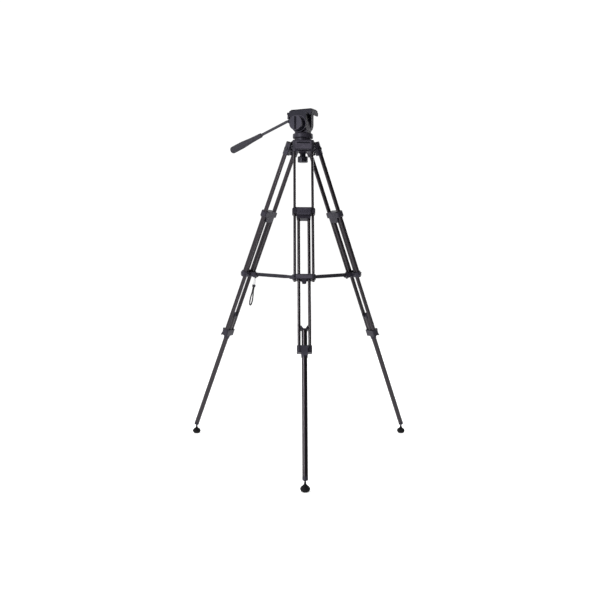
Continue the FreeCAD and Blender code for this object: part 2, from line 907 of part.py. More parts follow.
def crown():
    piece = Piece("crown", CROWN_FRAME)
    bore = size.stud_radius + size.running_gap
    profile = piece.draw("XZ_Plane")
    profile.outline(
        (bore, -size.boss_floor),
        (size.boss_radius, -size.boss_floor),
        (size.boss_radius, -size.crown_floor),
        (size.crown_radius, -size.crown_floor),
        (size.crown_radius, size.flange_floor),
        (size.flange_radius, size.flange_floor),
        (size.flange_radius, size.flange_top - 2),
        (size.flange_radius - 2, size.flange_top),
        (size.neck_radius, size.flange_top),
        (size.neck_radius, size.crown_top),
        (bore, size.crown_top),
    )
    piece.spin(profile)
    hinge, round_end = size.hinge_radius, size.tongue_radius
    web = piece.draw("XZ_Plane").box(size.boss_radius + 4, -round_end, hinge, round_end)
    tongue = piece.pad(web, 2 * size.tongue_half, "both")
    end = piece.draw("XZ_Plane").circle(hinge, 0, round_end)
    tip = piece.pad(end, 2 * size.tongue_half, "both")
    hole = piece.draw("XZ_Plane").circle(hinge, 0, size.bolt_radius + 0.02)
    eye = piece.cut(hole, 2 * size.tongue_half, "both")
    piece.ring([tongue, tip, eye], 3)


def hinge_bolts():
    piece = Piece("hinge_bolts", CROWN_FRAME)
    reach = size.yoke_half + 0.3
    shank = piece.draw("XZ_Plane").circle(size.hinge_radius, 0, size.bolt_radius)
    made = [piece.pad(shank, 2 * reach, "both")]
    for side, way in ((1, "up"), (-1, "down")):
        head = piece.draw("XZ_Plane", side * reach)
        head.circle(size.hinge_radius, 0, size.bolt_head_radius)
        made.append(piece.pad(head, size.bolt_head_height, way))
    piece.ring(made, 3)


def clamp_knob():
    """The knob and stud that clamp the head down on the crown."""
    piece = Piece("clamp_knob", CROWN_FRAME)
    stem, knob = size.clamp_stem_radius, size.clamp_knob_radius
    floor = -size.clamp_knob_floor
    profile = piece.draw("XZ_Plane")
    profile.outline(
        (0, floor),
        (knob - 4, floor),
        (knob, floor + 4, 4),
        (knob, -size.clamp_stem_floor - 3),
        (knob - 3, -size.clamp_stem_floor, 3),
        (stem, -size.clamp_stem_floor),
        (stem, -size.boss_floor - 0.3),
        (size.stud_radius, -size.boss_floor - 0.3),
        (size.stud_radius, size.crown_top + 2.5),
        (0, size.crown_top + 2.5),
    )
    piece.spin(profile)
    height = size.clamp_knob_floor - size.clamp_stem_floor
    scallop_ring(piece, floor, height, knob + 2.4, 4, 9)


def spreader_hub():
    """Three pairs of cheeks on a round plate. The arms' ends lie between the cheeks."""
    at_hub = lifted(size.hub_height.value)
    piece = Piece("spreader_hub", leg_plane(LEG_AZIMUTHS["right"]).multiply(at_hub))
    floor, top = -9, 7
    plate = piece.draw("XY_Plane", floor).circle(0, 0, size.hub_plate_radius)
    piece.pad(plate, 4.5)
    slot, lobe = size.arm_slot_half, size.hub_lobe_half
    made = []
    for side in (-1, 1):
        level = side * slot
        cheek = piece.draw("XZ_Plane", level)
        cheek.outline(
            (16, floor),
            (size.hub_pivot_radius, floor + 1),
            (size.hub_pivot_radius + 6, 0, 7),
            (size.hub_pivot_radius, top, 7),
            (24, top),
            (16, floor + 4.5),
        )
        made.append(piece.pad(cheek, lobe - slot, "up" if side > 0 else "down"))
    hole = piece.draw("XZ_Plane").circle(size.hub_pivot_radius, 0, size.arm_pin_radius)
    made.append(piece.cut(hole, 2 * lobe + 2, "both"))
    piece.ring(made, 3)
    boss = piece.draw("XY_Plane", floor + 4.5).circle(0, 0, 9)
    piece.pad(boss, 3)


# ---------------------------------------------------------------- strap on the left leg


def strap():
    """A wire link through the eye of the left bracket, a bead, and a loop of cord."""
    frame = leg_frame(LEG_AZIMUTHS["left"])
    eye = frame.multVec(Vector(-size.strap_eye_in.value, 0, -size.strap_eye.value))
    lean = 12
    hang = Placement(eye, Rotation(Vector(0, 0, 1), LEG_AZIMUTHS["left"]))
    hang = hang.multiply(turned(Vector(0, 1, 0), -lean))
    link = Piece("strap_link", hang)
    half, wire = size.link_half, size.link_wire
    drop = size.link_drop
    flat = link.draw("YZ_Plane")
    flat.box(-half - wire, -drop, half + wire, wire)
    flat.box(-half + wire, -drop + 2 * wire, half - wire, -wire)
    link.pad(flat, 2 * wire, "both")
    knot = Piece("strap_knot", hang)
    bead_height = 9
    bead = knot.draw("XY_Plane", -drop).oval(0, 13, 14)
    knot.pad(bead, bead_height, "down")
    strap_cord(hang, drop + bead_height)


# The cord's route as (across, height) in the plane the strap hangs in, from strand to strand.
STRAP_ROUTE = (
    (-3.1, 0),
    (-3.0, -9),
    (-3.4, -19),
    (-6.0, -31),
    (-8.9, -44),
    (-9.6, -57),
    (-8.2, -69),
    (-3.6, -77.5),
    (3.2, -78.0),
    (8.0, -70),
    (9.4, -58),
    (8.6, -45),
    (5.9, -32),
    (3.5, -20),
    (3.0, -10),
    (3.1, 0),
)


def strap_cord(hang, start):
    """A tube along straight runs joined by tangent arcs, each as large as its runs allow."""
    points = [Vector(0, across, height) for across, height in STRAP_ROUTE]
    edges = []
    radii = []
    last = points[0]
    for before, corner, after in zip(points, points[1:], points[2:]):
        come, leave = corner - before, after - corner
        turn = come.getAngle(leave)
        reach = 0.45 * min(come.Length, leave.Length)
        radii.append(reach / math.tan(turn / 2))
        come.normalize()
        leave.normalize()
        enter, exit_point = corner - come * reach, corner + leave * reach
        inward = (leave - come).normalize()
        to_centre = radii[-1] / math.cos(turn / 2)
        middle = corner + inward * (to_centre - radii[-1])
        edges.append(Part.LineSegment(last, enter).toShape())
        edges.append(Part.Arc(enter, middle, exit_point).toShape())
        last = exit_point
    edges.append(Part.LineSegment(last, points[-1]).toShape())
    path = Part.Wire(edges)
    radius = size.strap_radius.value
    section = Part.Wire([Part.makeCircle(radius, points[0], points[1] - points[0])])
    tube = path.makePipeShell([section], True, True)
    cord = doc.addObject("Part::Feature", "strap_cord")
    cord.Label = "strap_cord"
    cord.Shape = tube
    cord.Placement = hang.multiply(lifted(-start.value))
    print("strap cord radii", [round(value, 1) for value in radii])
    print("strap cord length", round(path.Length, 1))
    section = math.pi * radius ** 2
    print("volume over section times length", round(tube.Volume / (section * path.Length), 4))


# ---------------------------------------------------------------- head


def pan_base():
    piece = Piece("pan_base", HEAD_FRAME)
    radius, height = size.pan_ring_radius, size.pan_ring_height
    gap = size.running_gap
    pocket = 5
    profile = piece.draw("XZ_Plane")
    profile.outline(
        (size.stud_radius + gap, 0),
        (size.neck_radius, 0),
        (size.neck_radius, 1),
        (radius - 2, 1),
        (radius, 3.5),
        (radius, height - 2.5),
        (radius - 2.5, height),
        (size.spindle_radius + gap, height),
        (size.spindle_radius + gap, pocket),
        (size.stud_radius + gap, pocket),
    )
    piece.spin(profile)
    lock = piece.draw("XZ_Plane", -radius - 1).circle(0, height / 2, 3 + gap)
    piece.cut(lock, 12, "up")


def head_column():
    """The panning part: spindle, base disc and the upright that carries the tilt shaft."""
    piece = Piece("head_column", HEAD_FRAME)
    floor, top = size.column_base_floor, size.column_base_top
    profile = piece.draw("XZ_Plane")
    profile.outline(
        (0, 5.5),
        (size.spindle_radius, 5.5),
        (size.spindle_radius, floor),
        (size.column_base_radius, floor),
        (size.column_base_radius, top - 1),
        (size.column_base_radius - 1, top),
        (0, top),
    )
    piece.spin(profile)
    tilt_x, tilt_z, arc = -size.tilt_back, size.tilt_height, size.column_arc
    upright = piece.draw("XZ_Plane")
    upright.outline(
        (-size.flare_half, top - 1),
        (size.flare_half, top - 1),
        (size.flare_half, top + 4),
        (tilt_x + arc, top + 10),
        (tilt_x + arc, tilt_z),
        (tilt_x, tilt_z + arc, arc),
        (tilt_x - arc, tilt_z, arc),
        (-size.flare_half - 4, top + 9),
        (-size.flare_half, top + 4),
    )
    piece.pad(upright, 2 * size.column_half, "both")
    bore_across(piece, tilt_x, tilt_z, size.shaft_radius + size.running_gap, 2 * size.column_half + 2)


def tilt_shaft():
    piece = Piece("tilt_shaft", HEAD_FRAME)
    rod = piece.draw("XZ_Plane", -20).circle(-size.tilt_back, size.tilt_height, size.shaft_radius)
    piece.pad(rod, size.shaft_end + 20, "up")


def tilt_cradle():
    """Two cheeks on the tilt shaft under a deck with dovetail rails."""
    piece = Piece("tilt_cradle", HEAD_FRAME)
    outer, inner, radius = size.cheek_outer, size.cheek_inner, size.cheek_radius
    far = size.cheek_far
    tilt_x, tilt_z = -size.tilt_back, size.tilt_height
    floor, top = size.deck_floor, size.deck_top
    front, back = size.deck_front, -size.deck_back
    side_view = piece.draw("XZ_Plane", -far)
    side_view.outline(
        (tilt_x, tilt_z - radius, radius),
        (tilt_x + radius, tilt_z, radius),
        (tilt_x + radius, floor - 4),
        (tilt_x + radius + 4, floor, -4),
        (front - 14, floor),
        (front - 8, floor - size.deck_lip),
        (front, floor - size.deck_lip),
        (front, top),
        (back, top),
        (back, floor - 11),
        (tilt_x - radius, floor - 13),
        (tilt_x - radius, tilt_z),
    )
    piece.pad(side_view, far + outer, "up")
    piece.round(3, piece.edges("z", (front, outer)))
    piece.bevel(6, piece.edges("z", (front, far)))
    between = piece.draw("XZ_Plane")
    between.box(back - 1, tilt_z - radius - 1, tilt_x + radius + 20, floor)
    piece.cut(between, 2 * inner, "both")
    rail_height = 5
    rails = piece.draw("YZ_Plane", back)
    for side in (-1, 1):
        rails.outline(
            (side * 23.2, top - 0.5),
            (side * 26.5, top - 0.5),
            (side * 26.5, top + rail_height),
            (side * 21.2, top + rail_height),
        )
    piece.pad(rails, front - back)
    slot = piece.draw("XY_Plane", top).box(-24, -8, 24, 8)
    piece.cut(slot, top - floor)
    shaft = piece.draw("XZ_Plane", -20.2).circle(tilt_x, tilt_z, size.shaft_radius + 0.02)
    piece.cut(shaft, outer + 22, "up")
    stud = piece.draw("XZ_Plane", -far - 1).circle(tilt_x, tilt_z, 4 + size.running_gap)
    piece.cut(stud, 8, "up")
    lugs = piece.draw("XZ_Plane", outer - 3.5)
    lugs.box(back - 9, top - 9, back + 1, top)
    piece.pad(lugs, 3.5, "up")
    lugs = piece.draw("XZ_Plane", outer - 20)
    lugs.box(back - 9, top - 9, back + 1, top)
    piece.pad(lugs, 3.5, "down")
    pin = piece.draw("XZ_Plane", 0).circle(back - 5, top - 4.3, size.trunnion_radius + size.running_gap)
    piece.cut(pin, outer + 1, "up")


def plate_lever():
    """The camera plate's release lever, hanging on trunnions behind the deck."""
    piece = Piece("plate_lever", HEAD_FRAME)
    x, z = -size.deck_back - 5, size.deck_top - 4.3
    near, far = size.cheek_outer - 19.7, size.cheek_outer - 3.8
    profile = piece.draw("XZ_Plane", near)
    profile.outline((x - 3.6, z), (x - 4.6, z - 20), (x + 1.4, z - 20), (x + 3.6, z - 4), (x + 3.6, z))
    piece.pad(profile, far - near, "up")
    barrel = piece.draw("XZ_Plane", near).circle(x, z, 3.6)
    piece.pad(barrel, far - near, "up")
    pin = piece.draw("XZ_Plane", near - 3).circle(x, z, size.trunnion_radius)
    piece.pad(pin, far - near + 6, "up")


def camera_plate():
    piece = Piece("camera_plate", HEAD_FRAME)
    floor, top = size.deck_top + 0.3, size.plate_top
    ledge = size.deck_top + 5.3
    front, back = size.plate_front, -size.plate_back
    section = piece.draw("YZ_Plane", back)
    section.outline(
        (-22.8, floor),
        (22.8, floor),
        (20.8, ledge),
        (26.5, ledge),
        (26.5, top),
        (-26.5, top),
        (-26.5, ledge),
        (-20.8, ledge),
    )
    piece.pad(section, front - back)
    piece.round(4, piece.edges("z", (back, 26.5), (front, 26.5)))
    hole = piece.draw("XY_Plane", top).circle(0, 0, size.screw_radius + size.running_gap)
    piece.cut(hole, top - floor)


def plate_pad():
    piece = Piece("plate_pad", HEAD_FRAME)
    front, back, half = size.plate_front - 3, -size.plate_back + 3, 24
    outline = piece.draw("XY_Plane", size.plate_top).box(back, -half, front, half)
    piece.pad(outline, size.pad_top - size.plate_top)
    piece.round(3, piece.edges("z", (back, half), (front, half)))
    hole = piece.draw("XY_Plane", size.pad_top).circle(0, 0, size.screw_radius + 0.5)
    piece.cut(hole, size.pad_top - size.plate_top)


def camera_screw():
    piece = Piece("camera_screw", HEAD_FRAME)
    radius = size.screw_radius
    head_top = size.deck_top
    profile = piece.draw("XZ_Plane")
    profile.outline(
        (0, head_top - 4),
        (6.5, head_top - 4),
        (7, head_top - 3.5),
        (7, head_top),
        (radius - 0.5, head_top),
        (radius - 0.5, size.pad_top + 0.2),
        (radius, size.pad_top + 0.2),
        (radius, size.pad_top + size.screw_height - 0.5),
        (radius - 0.5, size.pad_top + size.screw_height),
        (0, size.pad_top + size.screw_height),
    )
    piece.spin(profile)


def side_knob(name, frame, stud_radius, stud_length, radius, height, flutes):
    """A fluted knob standing on a stud, drawn with its axis upright."""
    piece = Piece(name, frame)
    profile = piece.draw("XZ_Plane")
    profile.outline(
        (0, -stud_length),
        (stud_radius, -stud_length),
        (stud_radius, 0.5),
        (radius - 3, 0.5),
        (radius, 3.5, 3),
        (radius, height - 3),
        (radius - 3, height, 3),
        (0, height),
    )
    piece.spin(profile)
    scallop_ring(piece, 0.5, height, radius + 1.6, 2.8, flutes)


def handle_bracket():
    """The disc on the tilt shaft's end, with the socket that holds the pan handle."""
    piece = Piece("handle_bracket", HEAD_FRAME)
    inner, outer = size.bracket_disc_inner, size.bracket_disc_outer
    tilt_x, tilt_z = -size.tilt_back, size.tilt_height
    disc = piece.draw("XZ_Plane", inner).circle(tilt_x, tilt_z, size.bracket_disc_radius)
    piece.pad(disc, outer - inner, "up")
    web = piece.draw("XZ_Plane", inner)
    web.box(-34.3, size.handle_height - 8, tilt_x, size.handle_height + 8)
    piece.pad(web, outer - inner, "up")
    boss = piece.draw("YZ_Plane", -43).circle(-size.handle_offset, size.handle_height, 8)
    piece.pad(boss, 9, "up")
    socket = piece.draw("YZ_Plane", -43)
    socket.circle(-size.handle_offset, size.handle_height, size.handle_rod_radius)
    piece.cut(socket, 21, "up")
    shaft = piece.draw("XZ_Plane", inner).circle(tilt_x, tilt_z, size.shaft_radius + size.running_gap)
    piece.cut(shaft, outer - inner, "up")


def handle_knob():
    """The round clamp knob outside the bracket, with a slot across its face."""
    piece = Piece("handle_knob", HEAD_FRAME)
    inner, outer, radius = size.handle_knob_inner, size.handle_knob_outer, size.handle_knob_radius
    tilt_x, tilt_z = -size.tilt_back, size.tilt_height
    disc = piece.draw("XZ_Plane", inner).circle(tilt_x, tilt_z, radius)
    piece.pad(disc, outer - inner, "up")
    slot = piece.draw("XZ_Plane", outer)
    slot.box(tilt_x - 4.5, tilt_z - radius - 1, tilt_x + 4.5, tilt_z + radius + 1)
    piece.cut(slot, 4, "down")
    seat = piece.draw("XZ_Plane", inner).circle(tilt_x, tilt_z, size.shaft_radius + size.running_gap)
    piece.cut(seat, size.shaft_end - inner + 0.3, "up")


def handle_rod():
    """A bent rod: level out of its socket, then down to the grip."""
    piece = Piece("handle_rod", HEAD_FRAME)
    bend, slope = size.handle_bend.value, math.radians(size.handle_slope.value)
    height, turn_radius = size.handle_height.value, size.handle_bend_radius.value
    tangent = turn_radius * math.tan(slope / 2)
    length = size.grip_end.value - 12
    path = Drawing(piece.body, "XZ_Plane", size.handle_offset)
    start = Vector(-22.5, height, 0)
    turn_in = Vector(-bend + tangent, height, 0)
    turn_out = Vector(-bend - tangent * math.cos(slope), height - tangent * math.sin(slope), 0)
    end = Vector(-bend - length * math.cos(slope), height - length * math.sin(slope), 0)
    centre = Vector(turn_in.x, height - turn_radius, 0)
    arc = Part.ArcOfCircle(
        Part.Circle(centre, Vector(0, 0, 1), turn_radius), math.pi / 2, math.pi / 2 + slope
    )
    path.sketch.addGeometry(Part.LineSegment(start, turn_in), False)
    path.sketch.addGeometry(arc, False)
    path.sketch.addGeometry(Part.LineSegment(turn_out, end), False)
    for first, second in ((0, 1), (1, 2)):
        joined = Sketcher.Constraint("Coincident", first, 2, second, 1)
        path.sketch.addConstraint(joined)
    section = piece.draw("YZ_Plane", start.x)
    section.circle(-size.handle_offset, size.handle_height, size.handle_rod_radius)
    pipe = piece.feature("AdditivePipe", section)
    pipe.Spine = (path.sketch, ["Edge1", "Edge2", "Edge3"])
    doc.recompute()


def handle_grip():
    bend, slope = size.handle_bend.value, size.handle_slope.value
    at_bend = Placement(Vector(-bend, -size.handle_offset.value, size.handle_height.value), Rotation())
    # the grip's own Z runs down the handle, away from the head
    along = turned(Vector(0, 1, 0), -90 - slope)
    piece = Piece("handle_grip", HEAD_FRAME.multiply(at_bend).multiply(along))
    start, end, radius = size.grip_start, size.grip_end, size.grip_radius
    rod = size.handle_rod_radius
    profile = piece.draw("XZ_Plane")
    profile.outline(
        (rod, start),
        (rod + 2, start),
        (rod + 3.5, start + 3, 3),
        (radius - 3.5, start + 50),
        (radius, end - 60),
        (radius, end - 11),
        (radius - 11, end, 11),
        (0, end),
        (0, end - 12),
        (rod, end - 12),
    )
    piece.spin(profile)


crown()
hinge_bolts()
clamp_knob()
spreader_hub()
strap()
pan_base()
head_column()
tilt_shaft()
tilt_cradle()
plate_lever()
camera_plate()
plate_pad()
camera_screw()
handle_bracket()
handle_knob()
handle_rod()
handle_grip()
toward_left = Placement(
    Vector(-size.tilt_back.value, size.cheek_far.value + 0.1, size.tilt_height.value),
    Rotation(Vector(1, 0, 0), -90),
)
side_knob("tilt_lock_knob", HEAD_FRAME.multiply(toward_left), 4, 6, 14, 22, 10)
outward = Placement(
    Vector(size.pan_ring_radius.value + 0.1, 0, size.pan_ring_height.value / 2),
    Rotation(Vector(0, 1, 0), 90),
)
side_knob("pan_lock_knob", PAN_LOCK_FRAME.multiply(outward), 3, 9, 10, 18, 8)


# ---------------------------------------------------------------- write the pieces


def write_pieces():
    failed = [
        f"{thing.Label}: {thing.State}"
        for thing in doc.Objects
        if "Invalid" in thing.State or "Error" in thing.State
    ]
    bodies = [thing for thing in doc.Objects if thing.TypeId == "PartDesign::Body"]
    pieces = bodies + [thing for thing in doc.Objects if thing.TypeId == "Part::Feature"]
    for piece in pieces:
        if piece.Shape.isNull() or not piece.Shape.isValid():
            failed.append(f"{piece.Label}: no valid shape")
    if failed:
        raise RuntimeError("; ".join(failed))
    os.makedirs("parts", exist_ok=True)
    for piece in pieces:
        piece.Shape.exportStep(f"parts/{piece.Label}.step")
    print(len(pieces), "pieces written")


doc.recompute()
write_pieces()
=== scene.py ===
import json
import math

import bmesh
import bpy
from mathutils import Matrix, Vector


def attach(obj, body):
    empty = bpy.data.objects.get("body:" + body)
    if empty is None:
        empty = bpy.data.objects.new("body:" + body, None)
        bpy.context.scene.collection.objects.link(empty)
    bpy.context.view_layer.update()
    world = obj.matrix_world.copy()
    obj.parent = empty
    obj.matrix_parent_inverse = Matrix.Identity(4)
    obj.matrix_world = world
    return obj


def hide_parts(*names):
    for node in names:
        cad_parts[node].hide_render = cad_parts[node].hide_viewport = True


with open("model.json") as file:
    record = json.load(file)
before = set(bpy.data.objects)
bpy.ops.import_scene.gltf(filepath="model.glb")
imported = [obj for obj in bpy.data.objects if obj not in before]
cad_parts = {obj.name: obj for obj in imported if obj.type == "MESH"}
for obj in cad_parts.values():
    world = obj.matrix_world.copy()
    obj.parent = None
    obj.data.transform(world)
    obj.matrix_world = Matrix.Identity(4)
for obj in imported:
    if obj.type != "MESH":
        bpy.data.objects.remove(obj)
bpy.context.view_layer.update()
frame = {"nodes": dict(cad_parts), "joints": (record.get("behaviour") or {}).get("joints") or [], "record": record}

# A tripod with a fluid head, in metres: +Z up, the front leg along -Y, the other legs at
# azimuths 30 and 150 degrees. The head looks along azimuth -30, its handle along 150.

LEG_AZIMUTHS = {"front": -90, "left": 150, "right": 30}
HEAD_AZIMUTH = -30
HANDS = {"l": -1, "r": 1}
RECORD = frame["record"]
NODES = frame["nodes"]
JOINTS = {joint["name"]: joint for joint in frame["joints"]}


# ---------------------------------------------------------------- places


def joint_point(name):
    return Vector(JOINTS[name]["pos_m"])


PAN_AXIS = joint_point("pan")
TILT_AXIS = joint_point("tilt")


def leg_matrix(side):
    """A leg's frame: origin on its hinge, X out of its front, Z up the leg."""
    down = Vector(JOINTS[f"middle_{side}_slide"]["axis"])
    across = Vector(JOINTS[f"leg_{side}_fold"]["axis"])
    up = -down
    out = across.cross(up)
    matrix = Matrix((out, across, up)).transposed().to_4x4()
    matrix.translation = joint_point(f"leg_{side}_fold")
    return matrix


def head_matrix():
    """The head's frame: origin on the tilt axis, X forward, Z up, the handle on the -Y side."""
    turn = Matrix.Rotation(math.radians(HEAD_AZIMUTH), 4, "Z")
    turn.translation = TILT_AXIS
    return turn


def at(matrix, x, y, z, facing="z"):
    """A frame at a point given in millimetres. Its Z faces out of the surface it stands on."""
    turns = {
        "z": Matrix.Identity(4),
        "x": Matrix.Rotation(math.pi / 2, 4, "Y") @ Matrix.Rotation(math.pi / 2, 4, "Z"),
        "y": Matrix.Rotation(-math.pi / 2, 4, "X"),
        "-y": Matrix.Rotation(math.pi / 2, 4, "X"),
    }
    return matrix @ Matrix.Translation(Vector((x, y, z)) / 1000) @ turns[facing]


# ---------------------------------------------------------------- camera and light

# The camera stands at this distance and azimuth from the pan axis, in metres and degrees, and
# looks down by its dip. Its lens is in millimetres, its shift in parts of the frame's width.
CAMERA_DISTANCE = 2.941
CAMERA_AZIMUTH = -1.717
CAMERA_HEIGHT = 0.830
CAMERA_DIP = 4.376
CAMERA_ROLL = 0.398
CAMERA_LENS = 44.5
CAMERA_SHIFT = (-0.00305, -0.00067)


def make_camera():
    azimuth = math.radians(CAMERA_AZIMUTH)
    data = bpy.data.cameras.new("camera")
    data.lens = CAMERA_LENS
    data.sensor_width = 36
    data.shift_x, data.shift_y = CAMERA_SHIFT
    data.clip_start, data.clip_end = 0.05, 60
    camera = bpy.data.objects.new("camera", data)
    bpy.context.scene.collection.objects.link(camera)
    away = Vector((math.sin(azimuth), -math.cos(azimuth), 0))
    place = Vector((PAN_AXIS.x, PAN_AXIS.y, CAMERA_HEIGHT)) + away * CAMERA_DISTANCE
    aim = Matrix.Rotation(azimuth, 4, "Z") @ Matrix.Rotation(math.radians(90 - CAMERA_DIP), 4, "X")
    turned = aim @ Matrix.Rotation(math.radians(CAMERA_ROLL), 4, "Z")
    camera.matrix_world = Matrix.Translation(place) @ turned
    bpy.context.scene.camera = camera
    bpy.context.scene.view_settings.view_transform = "Standard"


def area_light(name, place, target, size, power):
    """A soft box in metres and watts, which the camera doesn't see."""
    data = bpy.data.lights.new(name, "AREA")
    data.shape = "RECTANGLE"
    data.size, data.size_y = size
    data.energy = power
    light = bpy.data.objects.new(name, data)
    light.location = place
    light.visible_camera = False
    light.rotation_euler = (Vector(target) - Vector(place)).to_track_quat("-Z", "Y").to_euler()
    bpy.context.scene.collection.objects.link(light)


# The side that the backdrop lights most, its glow on the dark side and on the lit side, and
# how bright the camera sees it.
LIT_SIDE = (-0.78, 0.62, 0)
DARK_GLOW = 0.06
LIT_GLOW = 1.1
SEEN_GLOW = 1.05


def backdrop_glow(tree, background):
    """A plain white backdrop all round. The light that falls on the tripod comes mostly from
    behind it and from its left, and little of it from the front right."""
    direction = tree.nodes.new("ShaderNodeTexCoord")
    toward = tree.nodes.new("ShaderNodeVectorMath")
    toward.operation = "DOT_PRODUCT"
    toward.inputs[1].default_value = LIT_SIDE
    shaded = tree.nodes.new("ShaderNodeMapRange")
    limits = {"From Min": -0.5, "From Max": 0.5, "To Min": DARK_GLOW, "To Max": LIT_GLOW}
    for name, value in limits.items():
        shaded.inputs[name].default_value = value
    ray = tree.nodes.new("ShaderNodeLightPath")
    strength = tree.nodes.new("ShaderNodeMix")
    strength.inputs["B"].default_value = SEEN_GLOW
    tree.links.new(direction.outputs["Generated"], toward.inputs[0])
    tree.links.new(toward.outputs["Value"], shaded.inputs["Value"])
    tree.links.new(ray.outputs["Is Camera Ray"], strength.inputs["Factor"])
    tree.links.new(shaded.outputs[0], strength.inputs["A"])
    tree.links.new(strength.outputs[0], background.inputs["Strength"])


def make_studio():
    world = bpy.data.worlds.new("studio")
    bpy.context.scene.world = world
    world.use_nodes = True
    background = world.node_tree.nodes["Background"]
    background.inputs["Color"].default_value = (1, 1, 1, 1)
    backdrop_glow(world.node_tree, background)
    area_light("key", (-2.2, -2.4, 2.0), (0, 0, 0.8), (0.3, 2.0), 85)
    area_light("top", (0.2, 0.6, 3.4), (0, 0, 1.0), (1.4, 1.4), 18)
    area_light("rear", (1.9, 2.6, 1.5), (0, 0, 0.8), (1.2, 1.8), 32)
    make_floor()


def make_floor():
    mesh = bpy.data.meshes.new("floor")
    half = 12.0
    corners = [(-half, -half, 0), (half, -half, 0), (half, half, 0), (-half, half, 0)]
    mesh.from_pydata(corners, [], [(0, 1, 2, 3)])
    floor = bpy.data.objects.new("floor", mesh)
    bpy.context.scene.collection.objects.link(floor)
    floor.data.materials.append(pale_floor())


# ---------------------------------------------------------------- materials

# The radius that a material gives a sharp edge, in metres.
SOFT_EDGE = 0.0006


class Shader:
    """A material's node tree with its Principled shader, and short ways to add nodes."""

    def __init__(self, name):
        self.material = bpy.data.materials.new(name)
        self.material.use_nodes = True
        self.tree = self.material.node_tree
        self.principled = self.tree.nodes["Principled BSDF"]
        coordinates = self.tree.nodes.new("ShaderNodeTexCoord")
        self.place = coordinates.outputs["Object"]

    def set(self, **values):
        names = {
            "metallic": "Metallic", "roughness": "Roughness", "coat": "Coat Weight",
            "coat_roughness": "Coat Roughness", "sheen": "Sheen Weight",
            "sheen_roughness": "Sheen Roughness", "specular": "Specular IOR Level",
            "specular_tint": "Specular Tint", "glow": "Emission Color",
            "glow_strength": "Emission Strength",
        }
        for name, value in values.items():
            self.principled.inputs[names[name]].default_value = value

    def node(self, kind, inputs=(), **settings):
        """A new node, each input linked to a socket or set to a value."""
        made = self.tree.nodes.new(kind)
        for name, value in settings.items():
            setattr(made, name, value)
        for name, value in dict(inputs).items():
            if isinstance(value, bpy.types.NodeSocket):
                self.tree.links.new(value, made.inputs[name])
            else:
                made.inputs[name].default_value = value
        return made

    def link(self, output, name):
        self.tree.links.new(output, self.principled.inputs[name])

    def noise(self, scale, detail=2.0, roughness=0.5, stretch=(1, 1, 1)):
        mapping = self.node("ShaderNodeMapping", {"Vector": self.place, "Scale": stretch})
        made = self.node(
            "ShaderNodeTexNoise",
            {"Vector": mapping.outputs[0], "Scale": scale, "Detail": detail, "Roughness": roughness},
        )
        return made.outputs["Fac"]

    def span(self, noise, low, high):
        """Stretches the middle of a noise over low to high."""
        made = self.node(
            "ShaderNodeMapRange",
            {"Value": noise, "From Min": 0.3, "From Max": 0.7, "To Min": low, "To Max": high},
        )
        return made.outputs[0]

    def colors(self, value, *stops):
        """A colour ramp over (position, colour) stops."""
        ramp = self.node("ShaderNodeValToRGB", {"Fac": value})
        elements = ramp.color_ramp.elements
        while len(elements) < len(stops):
            elements.new(0.5)
        for element, (position, color) in zip(elements, stops):
            element.position = position
            element.color = (*color, 1)
        return ramp.outputs["Color"]

    def bump(self, height, strength, distance):
        """A fine relief over edges softened by a small radius."""
        soft = self.node("ShaderNodeBevel", {"Radius": SOFT_EDGE}, samples=3)
        made = self.node(
            "ShaderNodeBump",
            {
                "Height": height, "Strength": strength, "Distance": distance,
                "Normal": soft.outputs[0],
            },
        )
        self.link(made.outputs[0], "Normal")


def pale_floor():
    shader = Shader("pale_floor")
    tone = shader.noise(1.2, 3)
    shader.link(shader.colors(tone, (0.3, (0.93, 0.93, 0.935)), (0.7, (0.95, 0.95, 0.95))), "Base Color")
    shader.set(roughness=0.7, specular=0.2, glow=(1, 1, 1, 1), glow_strength=0.5)
    return shader.material


def moulded_plastic(name, color, roughness, grain, coat, specular):
    """Satin moulding: fine spark-eroded grain, faint flow marks, dust-dulled patches."""
    shader = Shader(name)
    patches = shader.noise(35, 4)
    light = tuple(min(1, channel * 1.35 + 0.004) for channel in color)
    shader.link(shader.colors(patches, (0.35, color), (0.7, light)), "Base Color")
    flow = shader.noise(90, 3, 0.6)
    shader.link(shader.span(flow, roughness - 0.06, roughness + 0.08), "Roughness")
    shader.set(specular=specular, specular_tint=(0.84, 0.82, 1.0, 1))
    shader.set(coat=coat, coat_roughness=0.3)
    fine = shader.noise(2600, 2, 0.7)
    shader.bump(fine, grain, 0.0002)
    return shader.material


def anodised_tube():
    """Dark anodised aluminium with drawing lines along the tube and a soft sheen."""
    shader = Shader("anodised_tube")
    lines = shader.noise(700, 3, 0.6, (1, 1, 0.02))
    shader.link(
        shader.colors(lines, (0.3, (0.020, 0.016, 0.020)), (0.7, (0.031, 0.026, 0.031))), "Base Color"
    )
    shader.set(metallic=0.8, specular=0.4, coat=0.28, coat_roughness=0.17)
    shader.link(shader.span(lines, 0.26, 0.36), "Roughness")
    shader.bump(lines, 0.06, 0.0001)
    return shader.material


def black_rubber(name, color):
    """Matt rubber, mottled by wear."""
    shader = Shader(name)
    mottle = shader.noise(140, 4)
    light = tuple(channel * 1.5 + 0.003 for channel in color)
    shader.link(shader.colors(mottle, (0.3, color), (0.75, light)), "Base Color")
    shader.link(shader.span(mottle, 0.62, 0.8), "Roughness")
    shader.set(specular=0.15, sheen=0.02, sheen_roughness=0.5)
    fine = shader.noise(1800, 3, 0.7)
    shader.bump(fine, 0.25, 0.0003)
    return shader.material


